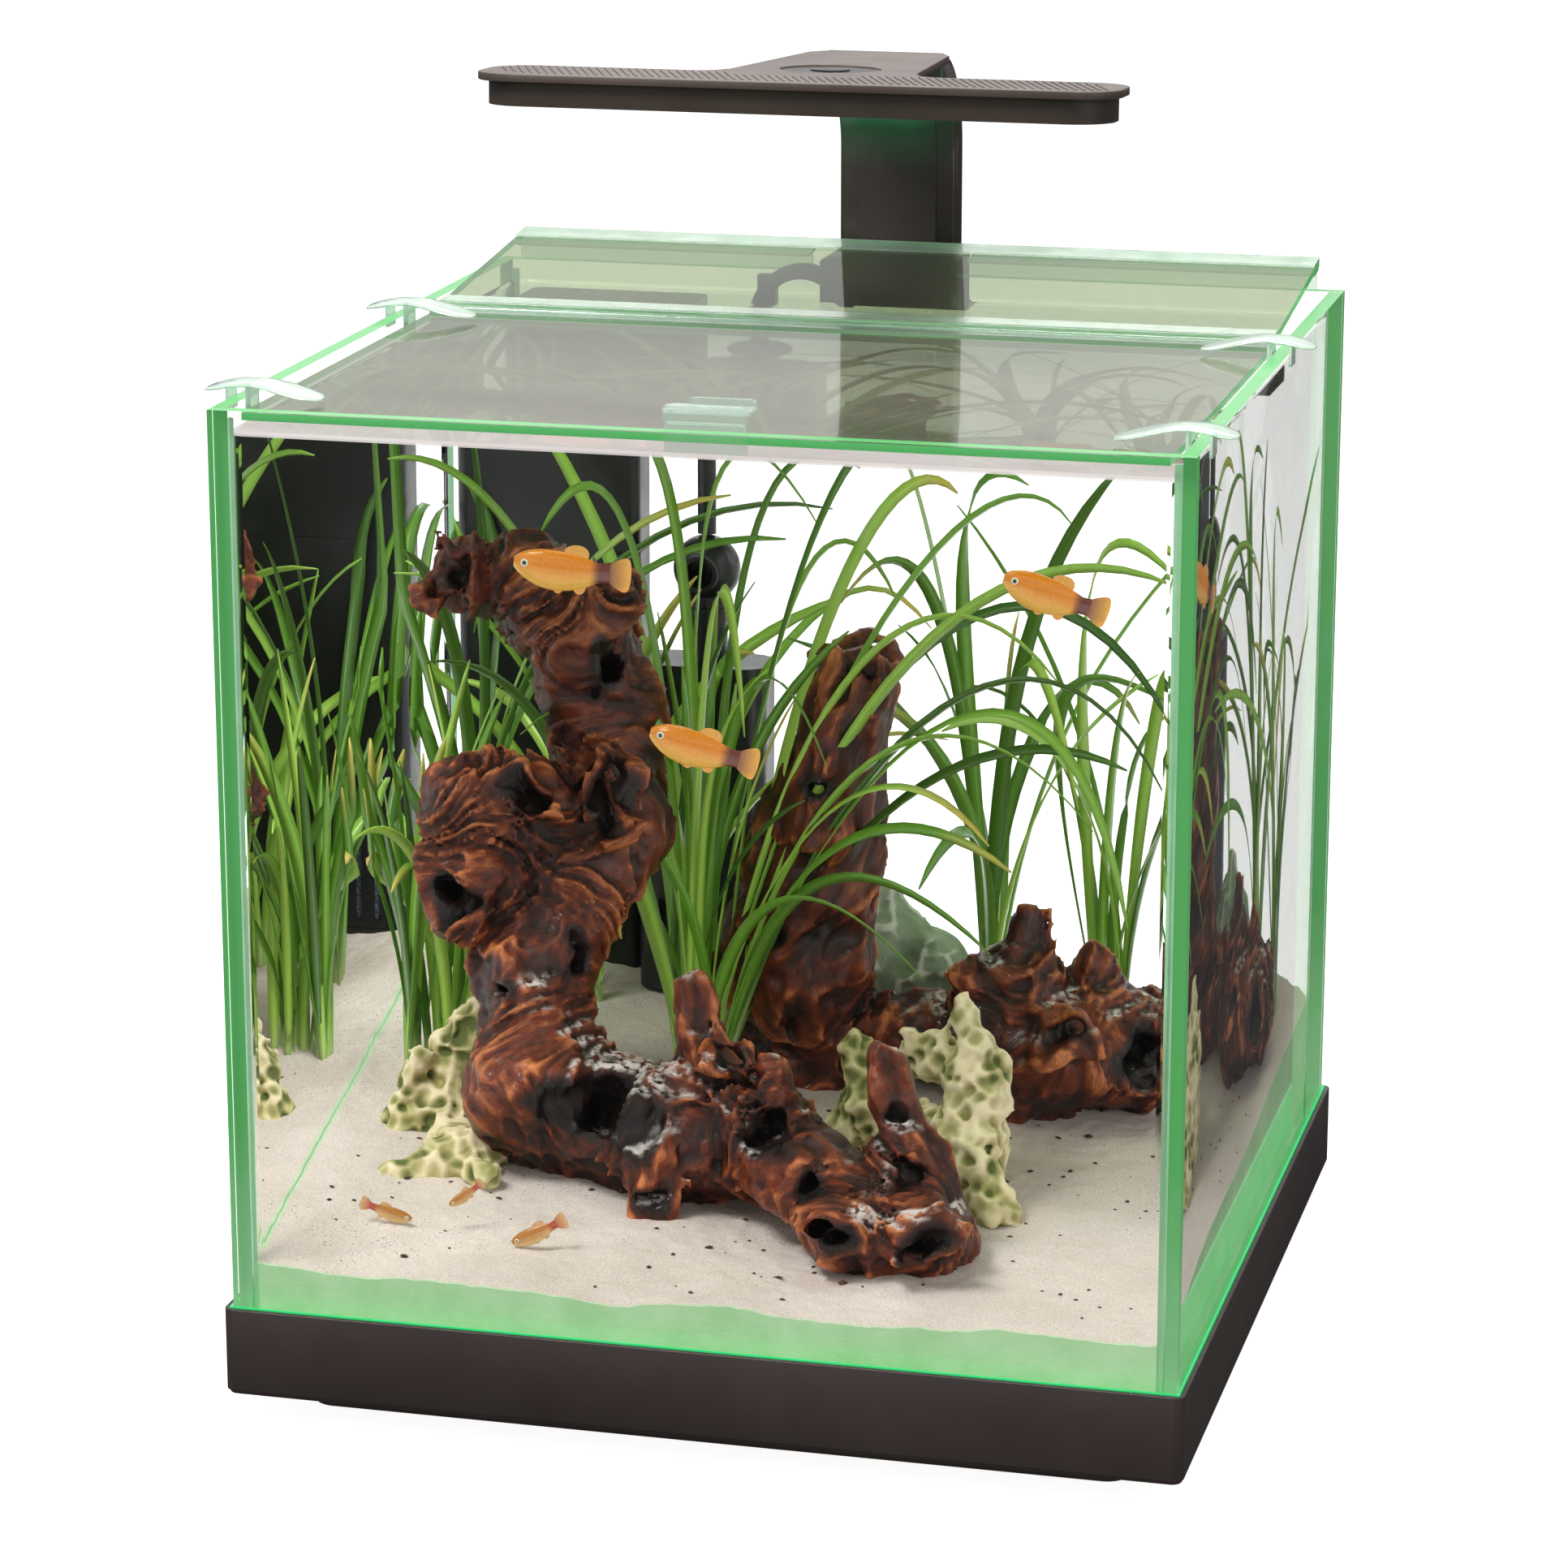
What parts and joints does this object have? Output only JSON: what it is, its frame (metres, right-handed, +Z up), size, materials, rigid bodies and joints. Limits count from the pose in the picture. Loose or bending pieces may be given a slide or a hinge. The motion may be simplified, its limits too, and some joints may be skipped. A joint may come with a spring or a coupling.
{
  "type": "aquarium on stand",
  "caption": "Cube glass aquarium on a lit low base, with a two-piece hinged glass lid, clamp-on lamp, inside filter and pump, sand, driftwood, rocks and plants.",
  "frame": {"origin": "centre of the plinth's flat underside, on the tank's vertical axis", "axes": "+Z up, -Y towards the front pane, +X to the right seen from the front"},
  "size_m": [0.402, 0.412, 0.518],
  "materials": {
    "pane_glass": "clear float glass with green cut edges",
    "lid_glass": "clear float glass, polished edges",
    "silicone": "translucent bead",
    "base_plastic": "satin moulded, warm black",
    "light_guide": "translucent, lit green from below",
    "circuit_board": "solder mask",
    "led": "encapsulant",
    "foam": "closed-cell foam",
    "soft_rubber": "matt",
    "screw_steel": "turned",
    "clear_vinyl": "clear flexible plastic",
    "lamp_plastic": "satin moulded, warm black",
    "lamp_trim": "dark satin",
    "diffuser": "opal",
    "filter_plastic": "satin black",
    "filter_sponge": "open-cell sponge",
    "impeller_plastic": "moulded magnet rotor",
    "sand": "fine pale sand with dark grains",
    "driftwood": "wet dark red-brown root wood",
    "pale_rock": "porous, yellow-green crust",
    "green_rock": "porous with pale veins",
    "leaf": "ribbon leaves, satin"
  },
  "bodies": {
    "root": {"front_pane": "pane_glass", "rear_pane": "pane_glass", "left_pane": "pane_glass", "right_pane": "pane_glass", "bottom_pane": "pane_glass", "silicone_seams": "silicone", "base_shell": "base_plastic", "plinth_plate": "base_plastic", "light_guide_rim": "light_guide", "led_strip_boards": "circuit_board", "controller_board": "circuit_board", "lamp_led_board": "circuit_board", "led_chips": "led", "lamp_leds": "led", "foam_mat": "foam", "rubber_pads": "soft_rubber", "clamp_lining": "soft_rubber", "suction_cups": "soft_rubber", "plinth_screws": "screw_steel", "lamp_screws": "screw_steel", "impeller_shaft": "screw_steel", "power_inlet": "lamp_trim", "lamp_button_ring": "lamp_trim", "lamp_arm_front_panel": "lamp_trim", "lamp_top_cover": "lamp_plastic", "lamp_lower_housing": "lamp_plastic", "lamp_arm_body": "lamp_plastic", "clamp_body": "lamp_plastic", "lamp_diffuser": "diffuser", "filter_body": "filter_plastic", "filter_cover": "filter_plastic", "filter_grille": "filter_plastic", "pump_body": "filter_plastic", "pump_hanger": "filter_plastic", "filter_cartridge": "filter_sponge", "sand_bed": "sand", "driftwood_main": "driftwood", "driftwood_rear": "driftwood", "rock_left": "pale_rock", "rock_right": "pale_rock", "rock_rear": "green_rock", "plants_left": "leaf", "plants_centre": "leaf", "plants_right": "leaf"},
    "lid_front": {"lid_front_panel": "lid_glass", "hinge_web": "clear_vinyl", "hinge_front_channel": "clear_vinyl", "lid_handle": "clear_vinyl", "lid_clip_front_left": "clear_vinyl", "lid_clip_front_right": "clear_vinyl", "lid_clip_mid_left": "clear_vinyl", "lid_clip_mid_right": "clear_vinyl"},
    "lid_rear": {"lid_rear_panel": "lid_glass", "hinge_rear_channel": "clear_vinyl", "rear_edge_strip": "clear_vinyl"},
    "lamp_key": {"lamp_button": "lamp_trim"},
    "pad": {"clamp_pad": "soft_rubber"},
    "thumb_screw": {"clamp_screw": "lamp_trim"},
    "impeller": {"pump_impeller": "impeller_plastic"},
    "nozzle": {"flow_nozzle": "filter_plastic"}
  },
  "joints": [
    {"name": "lid_front_open", "type": "hinge", "parent": "root", "child": "lid_front", "pos_m": [0, 0.06, 0.409], "axis": [-1, 0, 0], "range_deg": [0, 50]},
    {"name": "lid_rear_open", "type": "hinge", "parent": "root", "child": "lid_rear", "pos_m": [0, 0.06, 0.409], "axis": [1, 0, 0], "range_deg": [0, 26]},
    {"name": "lamp_button_press", "type": "slide", "parent": "root", "child": "lamp_key", "axis": [0, -0.0436, -0.999], "range_m": [0, 0.0008], "stiffness_N_per_m": 600, "springref_m": -0.0005},
    {"name": "clamp_pad_slide", "type": "slide", "parent": "root", "child": "pad", "axis": [0, 1, 0], "range_m": [0, 0.003]},
    {"name": "clamp_screw_turn", "type": "hinge", "parent": "pad", "child": "thumb_screw", "pos_m": [-0.009, 0.2095, 0.3765], "axis": [0, 1, 0], "range_deg": [0, 1080]},
    {"name": "impeller_spin", "type": "hinge", "parent": "root", "child": "impeller", "pos_m": [-0.061, 0.15, 0.14], "axis": [0, 0, 1], "continuous": true},
    {"name": "nozzle_swivel", "type": "hinge", "parent": "root", "child": "nozzle", "pos_m": [-0.061, 0.15, 0.302], "axis": [0, 0, 1], "range_deg": [-45, 45]}
  ],
  "couplings": [
    {"joint": "clamp_screw_turn", "follows": "clamp_pad_slide", "rad_per_m": 6283.2}
  ]
}
